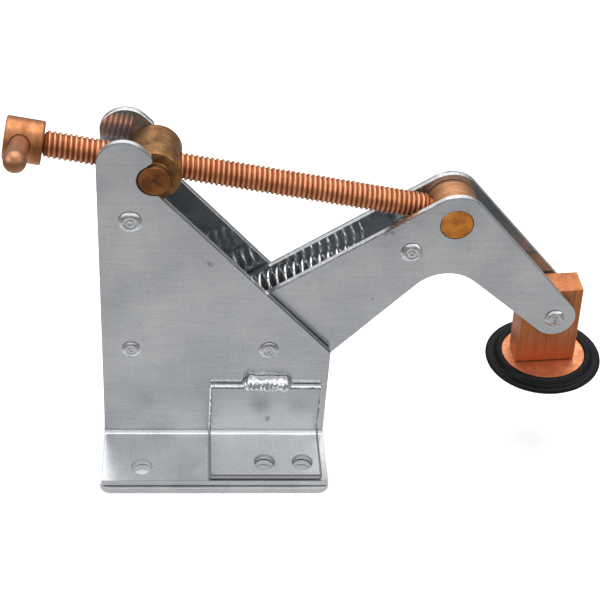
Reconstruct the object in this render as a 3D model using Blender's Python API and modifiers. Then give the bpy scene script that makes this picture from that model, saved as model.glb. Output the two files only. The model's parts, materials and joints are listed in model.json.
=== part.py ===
"""Bolt-down cantilever hold-down clamp with a screw-driven arm.

The frame is two bent side plates on a base plate. An arm of two cranked plates swings
between them on the fulcrum pin. A tee-handled screw runs in a trunnion nut that sits in
the open hooks of the side plates, and it pushes a swivel block near the crank of the arm.
A foot with a rubber pad hangs from the end of the arm, and a spring lifts the arm.

Dimensions below are millimetres. X is measured from the heel edge of the side plates
towards the foot, Y across the clamp from its plane of symmetry, and Z up from the
underside of the base plate. place() puts the origin at the middle of that underside,
and MM turns millimetres into metres.
"""

import math

import bmesh
import bpy
from mathutils import Matrix, Vector

MM = 0.001
GAP = 0.3            # between pieces that touch
FINE = 0.00001       # merge distance, in metres

# Frame
BASE_LENGTH = 100.0
PLATE_T = 3.0
FRAME_INNER = 11.5   # half the gap between the side plates
FRAME_OUTER = FRAME_INNER + PLATE_T
FLANGE_Y = 45.5      # free edge of the bent flange
BEND_INNER = 2.5
BASE_OVERHANG = 1.0
BASE_CORNER = 5.0
FLANGE_Z = PLATE_T + GAP
HOOK_TOP = (10.8, 149.0)
HOOK_RADIUS = 11.0
NOSE = (20.0, 152.3)
NOSE_RADIUS = 2.2
SLOPE_TOP_Z = 54.5   # where the sloping front edge starts
GUSSET_X = (47.0, 97.5)
GUSSET_TOP = 37.2
GUSSET_EDGE_Y = 45.0
WELD_X = (62.0, 83.5)
BOLT_HOLES_X = (17.5, 72.0, 89.0)
BOLT_HOLE_Y = 37.0
BOLT_HOLE_R = 4.45

# Places of the pivots and posts, in X and Z
FULCRUM = (72.6, 56.2)
NUT = (22.6, 143.0)
BLOCK = (147.7, 122.0)
FOOT = (198.6, 73.0)
UPPER_POST = (13.0, 123.3)
LOWER_POST = (12.5, 56.0)
ARM_POST = (130.4, 107.6)

# Arm
ARM_INNER = 7.6
ARM_OUTER = ARM_INNER + PLATE_T
HEEL_RADIUS = 24.0
CRANK_RADIUS = 13.2
TOE_RADIUS = 9.3
ARCH = (148.0, 78.8)
ARCH_RADIUS = 18.0

# Rivets and spacers
RIVET_R = 3.2
RIVET_HEAD_R = 4.75
RIVET_HEAD_H = 1.2
TOE_HEAD_R = 4.2
HOLE_GAP = 0.3
POST_R = 6.0
BUSH_R = 6.0

# Screw, nut and swivel block
THREAD_R = 5.55
NECK_R = 4.2
GROOVE_R = 3.2
BORE_GAP = 0.2
BARREL_R = 11.0
NUT_JOURNAL_R = 6.4
BLOCK_JOURNAL_R = 6.85
NOTCH_R = NUT_JOURNAL_R + 0.5
THREAD_START = 11.6  # from the swivel block's axis, along the screw
HEAD_START = 171.4
HEAD_LENGTH = 15.1
HEAD_R = 8.9
TEE_R = 3.9
TEE_END_R = 4.45
TEE_FRONT = 36.6     # reach of the tee bar in front of the screw's axis
TEE_BACK = 19.0
TEE_TURN = 17.0      # degrees the bar stands above level
TEE_SHIFT = 1.2      # of the bar's hole, outwards from the middle of the head
RETAINER_R = 1.25

# Foot
FOOT_TILT = 4.5      # degrees the foot hangs off plumb
POST_WIDTH = 27.0
POST_DEPTH = 13.4
POST_SHIFT = -0.8    # of the post's middle from the pivot, towards the heel
POST_ABOVE = 12.1    # from the foot's pivot to the top of the post
POST_BELOW = 28.2
DISC_R = 20.0
DISC_T = 2.5
PAD_R = 26.3
PAD_SOLE = 2.4

# Return spring
WIRE_R = 0.6
COIL_R = 6.0         # to the middle of the wire
COIL_TURNS = 25
COIL_START = 13.0    # along the spring, from its left tangent point
COIL_PITCH = 3.95
COIL_STEPS = 8
HOOK_TURN = 250.0    # degrees that each end wraps round its post

COLLECTION = "hold_down_clamp"
CUTTERS = "cutters"
ROUND = 28           # sides of a round piece
ACROSS = Matrix.Rotation(math.radians(-90), 4, "X")      # local Z along world +Y
UPRIGHT = Matrix.Rotation(math.radians(90), 4, "X")      # outline in the XZ plane
SECTION = Matrix(((0, 0, 1, 0), (1, 0, 0, 0), (0, 1, 0, 0), (0, 0, 0, 1)))   # outline in the YZ plane


def clear_scene():
    for obj in list(bpy.data.objects):
        bpy.data.objects.remove(obj, do_unlink=True)


def make_collection(name):
    collection = bpy.data.collections.new(name)
    bpy.context.scene.collection.children.link(collection)
    return collection


def material(name, colour, metallic, roughness):
    mat = bpy.data.materials.new(name)
    mat.use_nodes = True
    shader = mat.node_tree.nodes["Principled BSDF"]
    shader.inputs["Base Color"].default_value = (*colour, 1.0)
    shader.inputs["Metallic"].default_value = metallic
    shader.inputs["Roughness"].default_value = roughness
    return mat


clear_scene()
PARTS = make_collection(COLLECTION)
TOOLS = make_collection(CUTTERS)
FINISHES = {
    "zinc": ((0.62, 0.64, 0.65), 1.0, 0.38),
    "weld": ((0.72, 0.73, 0.74), 1.0, 0.3),
    "copper": ((0.72, 0.36, 0.19), 1.0, 0.38),
    "bronze": ((0.46, 0.24, 0.1), 1.0, 0.36),
    "spring": ((0.75, 0.76, 0.77), 1.0, 0.22),
    "rubber": ((0.025, 0.025, 0.027), 0.0, 0.5),
}


def add(name, data, finish=None, matrix=None):
    """Links an object in the parts' collection, or in the cutters' when it has no finish."""
    obj = bpy.data.objects.new(name, data)
    (PARTS if finish else TOOLS).objects.link(obj)
    if matrix is not None:
        obj.matrix_world = matrix
    if finish:
        data.materials.clear()
        data.materials.append(material(f"{name}_{finish}", *FINISHES[finish]))
    else:
        obj.hide_render = True
        obj.display_type = "WIRE"
    return obj


def place(x, y, z):
    """A point given from the heel edge, as a matrix in the row frame."""
    return Matrix.Translation(Vector((x - BASE_LENGTH / 2, y, z)) * MM)


def arc(centre, radius, start, end, steps):
    """Points on an arc, between angles in degrees."""
    points = []
    for i in range(steps + 1):
        angle = math.radians(start + (end - start) * i / steps)
        points.append((centre[0] + radius * math.cos(angle), centre[1] + radius * math.sin(angle)))
    return points


def offset_point(centre, radius, angle):
    return arc(centre, radius, angle, angle, 1)[0]


def prism(name, outline, half, matrix, finish=None):
    """A flat outline, extruded by half its thickness to each side, as a mesh."""
    curve = bpy.data.curves.new(name, "CURVE")
    curve.dimensions = "2D"
    curve.fill_mode = "BOTH"
    curve.extrude = half * MM
    spline = curve.splines.new("POLY")
    spline.points.add(len(outline) - 1)
    for point, (u, v) in zip(spline.points, outline):
        point.co = (u * MM, v * MM, 0.0, 1.0)
    spline.use_cyclic_u = True
    source = bpy.data.objects.new(f"{name}_outline", curve)
    TOOLS.objects.link(source)
    bpy.context.view_layer.update()
    evaluated = source.evaluated_get(bpy.context.evaluated_depsgraph_get())
    mesh = bpy.data.meshes.new_from_object(evaluated)
    bpy.data.objects.remove(source, do_unlink=True)
    shape = bmesh.new()
    shape.from_mesh(mesh)
    bmesh.ops.remove_doubles(shape, verts=shape.verts, dist=FINE)
    bmesh.ops.recalc_face_normals(shape, faces=shape.faces)
    shape.to_mesh(mesh)
    shape.free()
    mesh.name = name
    return add(name, mesh, finish, matrix)


def turned(name, profile, matrix, finish=None, closed=False, sides=ROUND):
    """A turned shape. The profile is (radius, height) points down the outer side, top to bottom."""
    mesh = bpy.data.meshes.new(name)
    count = len(profile)
    edges = [(i, i + 1) for i in range(count - 1)]
    if closed:
        edges.append((count - 1, 0))
    mesh.from_pydata([(r * MM, 0.0, h * MM) for r, h in profile], edges, [])
    obj = add(name, mesh, finish, matrix)
    screw = obj.modifiers.new("turn", "SCREW")
    screw.steps = sides
    screw.render_steps = sides
    screw.use_merge_vertices = True
    screw.merge_threshold = FINE
    return obj


def rod_cutter(name, radius, length, matrix, sides=ROUND):
    """A plain round cutter, centred on the matrix's origin, along its Z axis."""
    half = length / 2
    return turned(name, [(0, half), (radius, half), (radius, -half), (0, -half)], matrix, sides=sides)


def across_at(spot, y=0.0):
    """Local Z along world Y, through a point given in X and Z."""
    return place(spot[0], y, spot[1]) @ ACROSS


def cut(obj, cutter, operation="DIFFERENCE"):
    modifier = obj.modifiers.new(f"{operation.lower()}_{cutter.name}", "BOOLEAN")
    modifier.operation = operation
    modifier.object = cutter
    modifier.solver = "EXACT"


def smooth(obj, angle=35.0):
    """Shades a mesh with no turning modifier, keeping its corners sharp."""
    obj.data.shade_smooth()
    obj.data.set_sharp_from_angle(angle=math.radians(angle))


def pivot(name, spot, members):
    """An empty on a joint's axis, which carries the pieces that move on it."""
    empty = bpy.data.objects.new(name, None)
    PARTS.objects.link(empty)
    empty.matrix_world = place(spot[0], 0.0, spot[1])
    bpy.context.view_layer.update()
    for member in members:
        member.parent = empty
        member.matrix_parent_inverse = empty.matrix_world.inverted()
    return empty


def side_outline():
    """The side plate seen from the front: heel edge, hook, notch and sloping front edge."""
    low = -1.0
    over = tangent_angle(HOOK_TOP, NOSE, HOOK_RADIUS, NOSE_RADIUS)
    points = [(BASE_LENGTH, low), (BASE_LENGTH, SLOPE_TOP_Z)]
    points += arc(NUT, NOTCH_R, 283.0, 112.0, 15)
    points += arc(NOSE, NOSE_RADIUS, -80.0, over, 6)
    points += arc(HOOK_TOP, HOOK_RADIUS, over, 180.0, 12)
    points.append((0.0, low))
    return points


def angle_profile(outer, thickness, low, top, edge):
    """Section of a bent plate: up the leg at Y = -outer, and out along the flange to Y = -edge."""
    bend_outer = BEND_INNER + thickness
    centre = (-outer - BEND_INNER, low + thickness + BEND_INNER)
    points = [(-outer, top)]
    points += arc(centre, BEND_INNER, 0.0, -90.0, 5)
    points += [(-edge, low + thickness), (-edge, low)]
    points += arc(centre, bend_outer, -90.0, 0.0, 6)
    points.append((thickness - outer, top))
    return points


def on_side(points, side):
    """A section drawn for the front, at negative Y, put on the front (-1) or the rear (1)."""
    return [(-side * u, v) for u, v in points]


def bolt_cutters(side):
    """The three bolt holes of one flange, each right through every layer."""
    return [
        rod_cutter(f"bolt_hole_{i}_{'front' if side < 0 else 'rear'}", BOLT_HOLE_R, 40.0,
                   place(x, side * BOLT_HOLE_Y, 5.0))
        for i, x in enumerate(BOLT_HOLES_X)
    ]


def rivet_hole(name, spot, radius=RIVET_R + HOLE_GAP):
    return rod_cutter(name, radius, 60.0, across_at(spot), sides=20)


def make_frame():
    width = FLANGE_Y + BASE_OVERHANG + 0.5
    left = -BASE_OVERHANG
    right = BASE_LENGTH + BASE_OVERHANG
    r = BASE_CORNER
    outline = arc((right - r, width - r), r, 0, 90, 5) + arc((left + r, width - r), r, 90, 180, 5)
    outline += arc((left + r, r - width), r, 180, 270, 5) + arc((right - r, r - width), r, 270, 360, 5)
    base = prism("base_plate", outline, PLATE_T / 2, place(0, 0, PLATE_T / 2), "zinc")
    post_holes = [
        rivet_hole("hole_upper", UPPER_POST),
        rivet_hole("hole_lower", LOWER_POST),
        rivet_hole("hole_fulcrum", FULCRUM),
    ]
    outline_cutter = prism("side_shape", side_outline(), 60.0, place(0, 0, 0) @ UPRIGHT)
    middle = sum(GUSSET_X) / 2
    half = (GUSSET_X[1] - GUSSET_X[0]) / 2
    for side, word in ((-1, "front"), (1, "rear")):
        section = on_side(angle_profile(FRAME_OUTER, PLATE_T, FLANGE_Z, 165.0, FLANGE_Y), side)
        plate = prism(f"side_plate_{word}", section, BASE_LENGTH / 2,
                      place(BASE_LENGTH / 2, 0, 0) @ SECTION, "zinc")
        cut(plate, outline_cutter, "INTERSECT")
        section = on_side(angle_profile(FRAME_OUTER + PLATE_T + GAP, PLATE_T,
                                        FLANGE_Z + PLATE_T + GAP, GUSSET_TOP, GUSSET_EDGE_Y), side)
        gusset = prism(f"gusset_{word}", section, half, place(middle, 0, 0) @ SECTION, "zinc")
        for cutter in post_holes:
            cut(plate, cutter)
        for i, cutter in enumerate(bolt_cutters(side)):
            cut(plate, cutter)
            cut(base, cutter)
            if BOLT_HOLES_X[i] > GUSSET_X[0]:
                cut(gusset, cutter)
        make_weld(word, side)


def make_weld(word, side):
    """A fillet bead that laps the top edge of the gusset's leg."""
    low = FRAME_OUTER + GAP
    lap = FRAME_OUTER + 2 * GAP + PLATE_T + GAP
    section = [(low, GUSSET_TOP + GAP), (low, GUSSET_TOP + 4.2), (low + 1.6, GUSSET_TOP + 4.0),
               (lap + 0.9, GUSSET_TOP + 1.5), (lap + 1.5, GUSSET_TOP - 0.8),
               (lap + 0.9, GUSSET_TOP - 2.6), (lap, GUSSET_TOP - 2.8), (lap, GUSSET_TOP + GAP)]
    section = [(side * u, v) for u, v in section]
    half = (WELD_X[1] - WELD_X[0]) / 2
    prism(f"weld_{word}", section, half, place(sum(WELD_X) / 2, 0, 0) @ SECTION, "weld")


def tube(name, spot, inner, outer, half, finish):
    edge = 0.4
    profile = [(outer - edge, half), (outer, half - edge), (outer, edge - half),
               (outer - edge, -half), (inner, -half), (inner, half)]
    return turned(name, profile, across_at(spot), finish, closed=True, sides=24)


def rivet(name, spot, face, head_r=RIVET_HEAD_R):
    """A headed pin through both plates, whose outer faces are at Y = +face and -face."""
    seat = face + GAP
    top = seat + RIVET_HEAD_H
    down = [(0, top), (head_r * 0.6, top - 0.12), (head_r * 0.9, top - 0.55), (head_r, seat + 0.1),
            (head_r, seat), (RIVET_R, seat)]
    profile = down + [(r, -h) for r, h in reversed(down)]
    return turned(name, profile, across_at(spot), "zinc", sides=20)


def make_posts():
    for word, spot in (("upper", UPPER_POST), ("lower", LOWER_POST)):
        tube(f"spacer_{word}", spot, RIVET_R + HOLE_GAP, POST_R, FRAME_INNER - GAP, "zinc")
        rivet(f"rivet_{word}", spot, FRAME_OUTER)
    rivet("fulcrum_pin", FULCRUM, FRAME_OUTER)


def tangent_angle(a, b, ra, rb):
    """Angle of the normal of the tangent that runs over round a and then over round b."""
    dx, dz = b[0] - a[0], b[1] - a[1]
    heading = math.degrees(math.atan2(dz, dx) + math.asin((rb - ra) / math.hypot(dx, dz)))
    return heading + 90.0


def crossing_angle(a, b, ra, rb, turn):
    """Angle on round a of the tangent that crosses over to round b, left (1) or right (-1) of b."""
    dx, dz = b[0] - a[0], b[1] - a[1]
    heading = math.degrees(math.atan2(dz, dx))
    return heading + turn * math.degrees(math.acos((ra + rb) / math.hypot(dx, dz)))


def arm_outline():
    """The cranked arm plate: heel round the fulcrum, crank over the block, toe round the foot."""
    over = tangent_angle(FULCRUM, BLOCK, HEEL_RADIUS, CRANK_RADIUS)
    down = tangent_angle(BLOCK, FOOT, CRANK_RADIUS, TOE_RADIUS)
    arch_toe = crossing_angle(ARCH, FOOT, ARCH_RADIUS, TOE_RADIUS, 1)
    arch_heel = crossing_angle(ARCH, FULCRUM, ARCH_RADIUS, HEEL_RADIUS, -1) % 360.0
    points = arc(FULCRUM, HEEL_RADIUS, arch_heel + 180.0, over, 20)
    points += arc(BLOCK, CRANK_RADIUS, over, down, 9)
    points += arc(FOOT, TOE_RADIUS, down, arch_toe - 180.0, 14)
    points += arc(ARCH, ARCH_RADIUS, arch_toe, arch_heel, 10)
    return points


def make_arm():
    outline = arm_outline()
    holes = [
        rivet_hole("hole_bush", FULCRUM),
        rivet_hole("hole_arm_post", ARM_POST),
        rivet_hole("hole_toe", FOOT),
        rivet_hole("hole_journal", BLOCK, BLOCK_JOURNAL_R + HOLE_GAP),
    ]
    pieces = []
    for side, word in ((-1, "front"), (1, "rear")):
        y = side * (ARM_INNER + PLATE_T / 2)
        plate = prism(f"arm_plate_{word}", outline, PLATE_T / 2, place(0, y, 0) @ UPRIGHT, "zinc")
        for cutter in holes:
            cut(plate, cutter)
        pieces.append(plate)
    half = ARM_INNER - GAP
    pieces.append(tube("fulcrum_bush", FULCRUM, RIVET_R + HOLE_GAP, BUSH_R, half, "bronze"))
    pieces.append(tube("arm_spacer", ARM_POST, RIVET_R + HOLE_GAP, POST_R, half, "zinc"))
    pieces.append(rivet("arm_rivet", ARM_POST, ARM_OUTER))
    pieces.append(rivet("foot_pin", FOOT, ARM_OUTER, head_r=TOE_HEAD_R))
    pivot("arm_axis", FULCRUM, pieces)


def screw_frame():
    """Origin on the swivel block's axis, local Z along the screw towards its handle, local X up."""
    along = Vector((NUT[0] - BLOCK[0], 0.0, NUT[1] - BLOCK[1])).normalized()
    across = Vector((0.0, 1.0, 0.0))
    up = across.cross(along)
    turn = Matrix((up, across, along)).transposed().to_4x4()
    return place(BLOCK[0], 0.0, BLOCK[1]) @ turn


def shift(h, x=0.0):
    return Matrix.Translation(Vector((x, 0.0, h)) * MM)


def barrel(name, spot, half, journal_r, face, finish):
    """A cross-drilled barrel on two journals, turned about Y."""
    bevel = 0.8
    down = [(0, face), (journal_r - 0.5, face), (journal_r, face - 0.5), (journal_r, half),
            (BARREL_R - bevel, half), (BARREL_R, half - bevel)]
    profile = down + [(r, -h) for r, h in reversed(down)]
    return turned(name, profile, across_at(spot), finish, sides=36)


def make_screw():
    frame = screw_frame()
    reach = math.hypot(NUT[0] - BLOCK[0], NUT[1] - BLOCK[1])
    nut = barrel("trunnion_nut", NUT, FRAME_INNER - GAP, NUT_JOURNAL_R, FRAME_OUTER + 0.3, "bronze")
    cut(nut, rod_cutter("nut_bore", THREAD_R + BORE_GAP, 60.0, frame @ shift(reach)))
    pivot("nut_axis", NUT, [nut])

    block = barrel("screw_block", BLOCK, ARM_INNER - GAP, BLOCK_JOURNAL_R, ARM_OUTER + 0.2, "copper")
    tip = -6.0
    cut(block, rod_cutter("block_bore", NECK_R + GAP, 30.0, frame @ shift(tip - 0.6 + 15.0)))
    pin_h = 2.5
    pin_x = GROOVE_R + 0.15 + RETAINER_R
    pin_place = frame @ shift(pin_h, x=pin_x) @ ACROSS
    cut(block, rod_cutter("retainer_hole", RETAINER_R + 0.1, 60.0, pin_place, sides=16))
    retainer = turned("screw_retainer",
                      [(0, 7.0), (RETAINER_R, 7.0), (RETAINER_R, -7.0), (0, -7.0)],
                      pin_place, "spring", sides=16)
    pivot("block_axis", BLOCK, [block, retainer])

    end = HEAD_START - GAP
    profile = [(0, HEAD_START + 2.0), (NECK_R - 0.4, HEAD_START + 2.0), (NECK_R - 0.4, end),
               (THREAD_R - 0.8, end), (THREAD_R, end - 0.8), (THREAD_R, THREAD_START + 0.9),
               (NECK_R, THREAD_START), (NECK_R, pin_h + 1.6), (GROOVE_R, pin_h + 1.5),
               (GROOVE_R, pin_h - 1.5), (NECK_R, pin_h - 1.6), (NECK_R, tip + 0.8),
               (NECK_R - 0.8, tip), (0, tip)]
    screw = turned("clamp_screw", profile, frame, "copper")

    top = HEAD_START + HEAD_LENGTH
    profile = [(0, top), (HEAD_R - 0.7, top), (HEAD_R, top - 0.7), (HEAD_R, HEAD_START + 0.7),
               (HEAD_R - 0.7, HEAD_START), (NECK_R, HEAD_START), (NECK_R, HEAD_START + 2.3),
               (0, HEAD_START + 2.3)]
    head = turned("screw_head", profile, frame, "copper", sides=36)
    middle = HEAD_START + HEAD_LENGTH / 2 + TEE_SHIFT
    lift = math.radians(TEE_TURN)
    bar_axis = Vector((math.sin(lift), -math.cos(lift), 0.0))
    bar_turn = bar_axis.to_track_quat("Z", "X").to_matrix().to_4x4()
    bar_frame = frame @ shift(middle) @ bar_turn
    cut(head, rod_cutter("tee_hole", TEE_R + GAP, 40.0, bar_frame))
    bar = tee_bar(bar_frame)
    pivot("screw_axis", BLOCK, [screw, head, bar])


def tee_bar(matrix):
    """The sliding bar. Its ends are upset after assembly, so that it can't fall out."""
    neck = 6.0
    round_end = [(TEE_END_R * math.sin(math.radians(a)), TEE_END_R * (math.cos(math.radians(a)) - 1))
                 for a in (0, 22, 44, 66, 90)]
    front = [(r, TEE_FRONT + h) for r, h in round_end]
    front += [(TEE_END_R, TEE_FRONT - neck), (TEE_R, TEE_FRONT - neck - 0.5)]
    back = [(r, -TEE_BACK - h) for r, h in round_end]
    back += [(TEE_END_R, neck - TEE_BACK), (TEE_R, neck + 0.5 - TEE_BACK)]
    return turned("tee_bar", front + list(reversed(back)), matrix, "copper", sides=24)


def make_foot():
    tilt = place(FOOT[0], 0, FOOT[1]) @ Matrix.Rotation(math.radians(-FOOT_TILT), 4, "Y")
    mesh = bpy.data.meshes.new("foot_post")
    shape = bmesh.new()
    bmesh.ops.create_cube(shape, size=1.0)
    height = POST_ABOVE + POST_BELOW
    bmesh.ops.scale(shape, vec=Vector((POST_WIDTH, POST_DEPTH, height)) * MM, verts=shape.verts)
    middle = Vector((POST_SHIFT, 0, (POST_ABOVE - POST_BELOW) / 2)) * MM
    bmesh.ops.translate(shape, vec=middle, verts=shape.verts)
    shape.to_mesh(mesh)
    shape.free()
    post = add("foot_post", mesh, "copper", tilt)
    bevel = post.modifiers.new("edges", "BEVEL")
    bevel.width = 0.5 * MM
    bevel.segments = 1
    cut(post, rivet_hole("hole_foot", FOOT))
    bolt_top = -POST_BELOW + 12.0
    cut(post, rod_cutter("bolt_bore", 2.6, 24.0, tilt @ shift(bolt_top + 0.5 - 12.0), sides=16))

    disc_top = -POST_BELOW - GAP
    disc_low = disc_top - DISC_T
    cone = 2.2
    bore = 2.6
    sink = 4.9
    disc = turned("foot_disc",
                  [(DISC_R - 0.4, disc_top), (DISC_R, disc_top - 0.4), (DISC_R, disc_low + 0.4),
                   (DISC_R - 0.4, disc_low), (sink, disc_low), (bore, disc_low + cone),
                   (bore, disc_top)],
                  tilt, "copper", closed=True, sides=48)
    bolt = turned("foot_bolt",
                  [(0, bolt_top), (2.3, bolt_top), (2.3, disc_low + cone), (4.5, disc_low + 0.05),
                   (0, disc_low + 0.05)],
                  tilt, "spring", sides=16)
    pad_top = disc_low - GAP
    sole = pad_top - PAD_SOLE
    groove = DISC_R + GAP
    pad = turned("rubber_pad",
                 [(18.8, disc_top + 0.35), (19.3, disc_top + 1.0), (20.5, disc_top + 1.1),
                  (21.6, disc_top + 0.4), (22.4, disc_top - 0.9), (23.3, disc_top - 1.2),
                  (24.9, disc_top - 0.9), (25.9, disc_top - 1.3), (PAD_R, disc_top - 2.2),
                  (PAD_R - 0.5, disc_top - 3.2), (PAD_R - 1.9, disc_top - 4.2), (PAD_R - 3.6, sole),
                  (0, sole), (0, pad_top), (groove, pad_top), (groove, disc_top + 0.35)],
                 tilt, "rubber", closed=True, sides=48)
    pivot("foot_axis", FOOT, [post, disc, bolt, pad])


def spring_path():
    """Points along the spring's wire: hook, coils and hook, in the frame's plane of symmetry.

    Both hooks pass under their posts, and the coils stand on the line between them.
    """
    reach = POST_R + WIRE_R + GAP
    dx, dz = ARM_POST[0] - LOWER_POST[0], ARM_POST[1] - LOWER_POST[1]
    contact = math.degrees(math.atan2(dz, dx)) - 90.0
    start = Vector((*offset_point(LOWER_POST, reach, contact), 0.0))
    end = Vector((*offset_point(ARM_POST, reach, contact), 0.0))
    along = (end - start).normalized()
    up = Vector((-along.y, along.x, 0.0))
    out = Vector((0.0, 0.0, 1.0))
    path = [Vector((x, z, 0.0)) for x, z in arc(LOWER_POST, reach, contact - HOOK_TURN, contact, 14)]
    for i in range(COIL_TURNS * COIL_STEPS + 1):
        turn = i / COIL_STEPS
        angle = 2 * math.pi * turn
        spot = start + along * (COIL_START + COIL_PITCH * turn) + up * COIL_R
        path.append(spot - up * COIL_R * math.cos(angle) + out * COIL_R * math.sin(angle))
    path += [Vector((x, z, 0.0)) for x, z in arc(ARM_POST, reach, contact, contact + HOOK_TURN, 14)]
    return path


def make_spring():
    curve = bpy.data.curves.new("return_spring", "CURVE")
    curve.dimensions = "3D"
    curve.bevel_depth = WIRE_R * MM
    curve.bevel_resolution = 1
    curve.use_fill_caps = True
    path = spring_path()
    spline = curve.splines.new("POLY")
    spline.points.add(len(path) - 1)
    for point, spot in zip(spline.points, path):
        point.co = (*(spot * MM), 1.0)
    add("return_spring", curve, "spring", place(0, 0, 0) @ UPRIGHT)


make_frame()
make_posts()
make_arm()
make_screw()
make_foot()
make_spring()
for piece in PARTS.objects:
    if piece.type == "MESH":
        smooth(piece)
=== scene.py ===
"""Looks of the bolt-down hold-down clamp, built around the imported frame.

Plates are bright zinc with sheared edges, the screw and foot are copper plate, the nut is
oiled bronze and the pad is moulded rubber. Lengths are millimetres in the row frame, and
MM turns them into metres.
"""

import json
import math

import bmesh
import bpy
from mathutils import Matrix, Vector, noise

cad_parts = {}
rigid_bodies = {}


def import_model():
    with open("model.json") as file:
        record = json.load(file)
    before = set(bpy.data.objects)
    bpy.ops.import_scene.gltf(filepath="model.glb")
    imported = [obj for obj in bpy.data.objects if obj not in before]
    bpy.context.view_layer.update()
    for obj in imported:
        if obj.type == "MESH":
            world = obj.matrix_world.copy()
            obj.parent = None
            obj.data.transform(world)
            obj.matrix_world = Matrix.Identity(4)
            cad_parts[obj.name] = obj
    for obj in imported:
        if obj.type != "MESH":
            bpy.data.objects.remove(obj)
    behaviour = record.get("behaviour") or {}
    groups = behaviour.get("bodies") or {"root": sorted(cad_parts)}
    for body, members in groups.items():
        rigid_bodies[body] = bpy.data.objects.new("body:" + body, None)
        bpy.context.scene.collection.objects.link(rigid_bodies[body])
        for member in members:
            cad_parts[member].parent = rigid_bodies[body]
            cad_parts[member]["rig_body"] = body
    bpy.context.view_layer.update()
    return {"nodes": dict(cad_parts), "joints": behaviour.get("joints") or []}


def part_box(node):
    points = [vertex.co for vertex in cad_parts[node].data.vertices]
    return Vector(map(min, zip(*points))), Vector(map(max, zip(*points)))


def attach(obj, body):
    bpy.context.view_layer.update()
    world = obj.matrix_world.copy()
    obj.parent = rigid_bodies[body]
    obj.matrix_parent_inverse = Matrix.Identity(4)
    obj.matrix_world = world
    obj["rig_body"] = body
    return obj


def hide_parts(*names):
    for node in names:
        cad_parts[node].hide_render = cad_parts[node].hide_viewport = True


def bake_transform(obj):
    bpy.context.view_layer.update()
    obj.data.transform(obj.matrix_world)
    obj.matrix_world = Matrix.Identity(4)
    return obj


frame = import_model()

MM = 0.001
WELD_DIST = 0.000002      # merge distance, in metres
NODES = frame["nodes"]
JOINTS = {joint["name"]: joint for joint in frame["joints"]}

# Sizes that the frame doesn't give directly
PLATE_T = 3.0
GAP = 0.3
FRAME_INNER = 11.5
FRAME_OUTER = FRAME_INNER + PLATE_T
ARM_INNER = 7.6
ARM_OUTER = ARM_INNER + PLATE_T
BEND_TOP = 12.0           # height at which a side plate's leg is flat again
EDGE_ROUND = 0.4
GUSSET_ROUND = 1.2
GUSSET_OUTER = FRAME_OUTER + PLATE_T + GAP
BOLT_SPOTS = ((22.0, 37.0), (39.0, 37.0))     # of the gusset's holes, in X and distance across
BOLT_NEAR = 5.2           # edges this close to a hole's middle belong to it
SHARP = 38.0              # degrees across an edge that gets rounded
RIVET_R = 3.2             # of a rivet between its heads
RIVET_SEAT = 1.2          # from the seat of a rivet's head to the end of its box
PIN_BORE_R = 3.5          # of the tubes that the rivets run through
THREAD_R = 5.55
ROOT_R = 4.8
PITCH = 2.117
NECK_R = 4.2
GROOVE_R = 3.2
SCREW_TIP = -6.0          # along the screw from the swivel block's axis, as the next five
GROOVE_START = 1.0
GROOVE_END = 4.0
THREAD_START = 11.6
THREAD_END = 171.1
HEAD_START = 171.4
HEAD_LENGTH = 15.1
HEAD_R = 8.9
HEAD_DEEP = 2.3           # depth of the recess in the head that the screw's stub goes into
STUB_R = 3.8
STUB_DEEP = 2.0
TEE_SHIFT = 1.2           # of the tee bar's hole, outwards from the middle of the head
TEE_R = 3.9
TEE_END_R = 4.45
TEE_FRONT = 36.6
TEE_BACK = 19.0
BARREL_R = 11.0
BARREL_BEVEL = 0.8
BORE_PLAY = 0.2           # between the screw's thread and the nut's bore
NUT_JOURNAL_R = 6.4
BLOCK_JOURNAL_R = 6.85
FOOT_TILT = 4.5           # degrees
DISC_TOP = -28.5          # along the foot, from its pivot
DISC_R = 20.0
DISC_T = 2.5
BOLT_BORE_R = 2.6         # through the disc, with a countersink
SINK_R = 4.9
SINK_DEEP = 2.2
PAD_R = 26.3
PAD_SOLE = 2.4
POST_R = 6.0              # of the spacers that the spring hooks round
WIRE_R = 0.6
COIL_R = 6.0              # to the middle of the wire
COIL_TURNS = 25
COIL_START = 13.0         # along the spring, from its left tangent point
COIL_PITCH = 3.95
HOOK_TURN = 250.0         # degrees of wire round a spacer
COIL_SIDES = 24           # points round one turn
WIRE_BEND = 2.0           # radius of the wire's bend into the coil
SIDES = 48

CAMERA_SPOT = (-15.81, -443.24, 422.75)
CAMERA_YAW = 6.68         # degrees, as the next two
CAMERA_PITCH = 38.09      # below level
CAMERA_ROLL = 4.87
CAMERA_LENS = 77.13
SENSOR = 36.0

LAMP_AIM = (0.06, 0.0, 0.07)      # metres, as the next two
FLOOR_SIZE = 0.8
FLOOR_DROP = 0.0002
SKY_STRENGTH = 1.25
SKY_SEEN = (0.93, 0.93, 0.93, 1.0)
# Greys by height, from -1 straight down to 1 straight up
SKY_GREYS = ((-1.0, 0.66), (-0.74, 0.6), (-0.62, 0.43), (-0.5, 0.3), (-0.25, 0.26),
             (-0.05, 0.15), (0.15, 0.22), (0.4, 0.8), (0.72, 0.8), (1.0, 0.5))

ACROSS = Matrix.Rotation(math.radians(-90), 4, "X")    # local Z along world +Y


# Places read from the frame

def joint_spot(name):
    """A joint's place, in millimetres."""
    return Vector(JOINTS[name]["pos_m"]) / MM


def node_spot(node):
    """The middle of a node's box, in millimetres."""
    low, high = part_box(node)
    return (low + high) / 2 / MM


def half_width(node):
    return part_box(node)[1].y / MM


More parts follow.
